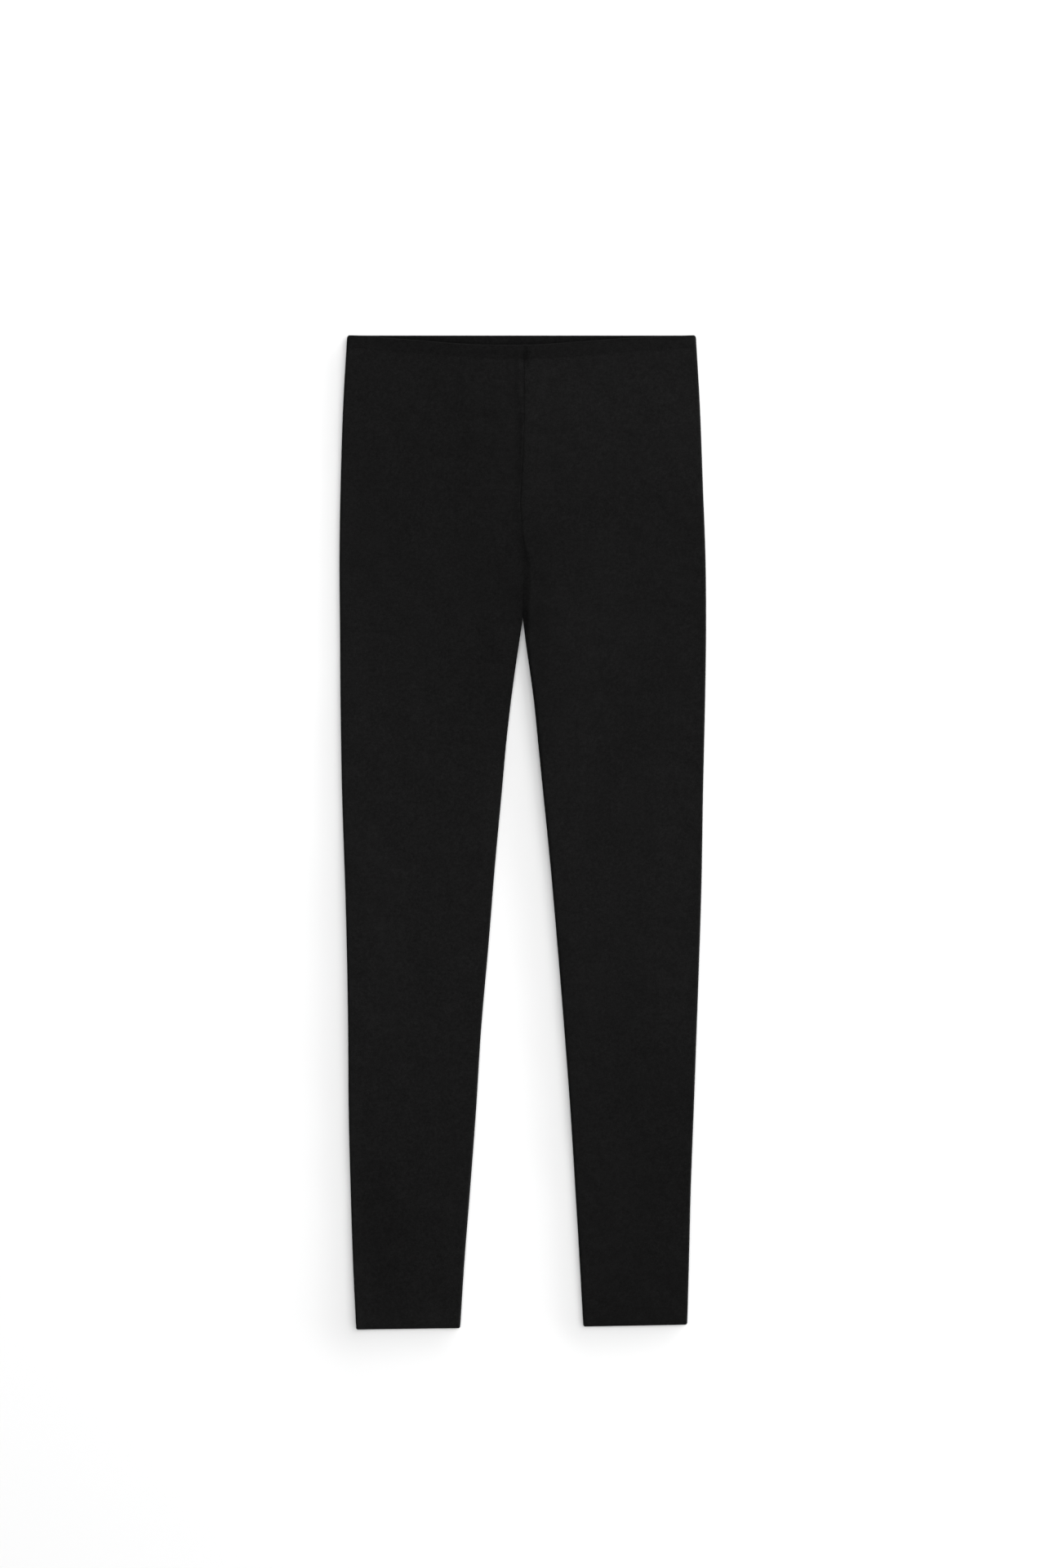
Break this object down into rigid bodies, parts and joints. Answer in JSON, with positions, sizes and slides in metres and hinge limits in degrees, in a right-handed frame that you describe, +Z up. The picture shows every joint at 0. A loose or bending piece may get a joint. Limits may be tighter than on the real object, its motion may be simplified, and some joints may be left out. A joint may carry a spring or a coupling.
{
  "type": "leggings",
  "caption": "Plain knit leggings lying flat on their back, with a narrow elastic waistband, wrapped leg panels and an open waist and hems.",
  "frame": {"origin": "centre of the flat underside's bounding box, on the surface that the garment lies on", "axes": "+Z up from the surface, through the front layer; +Y along the garment to its waist; the wearer's right leg at -X"},
  "size_m": [0.359, 0.973, 0.0105],
  "materials": {
    "leg_right": "matte black fine knit",
    "leg_left": "matte black fine knit",
    "waistband": "matte black fine knit over elastic"
  },
  "bodies": {
    "root": {"leg_right": "leg_right", "leg_left": "leg_left", "waistband": "waistband"}
  },
  "joints": []
}
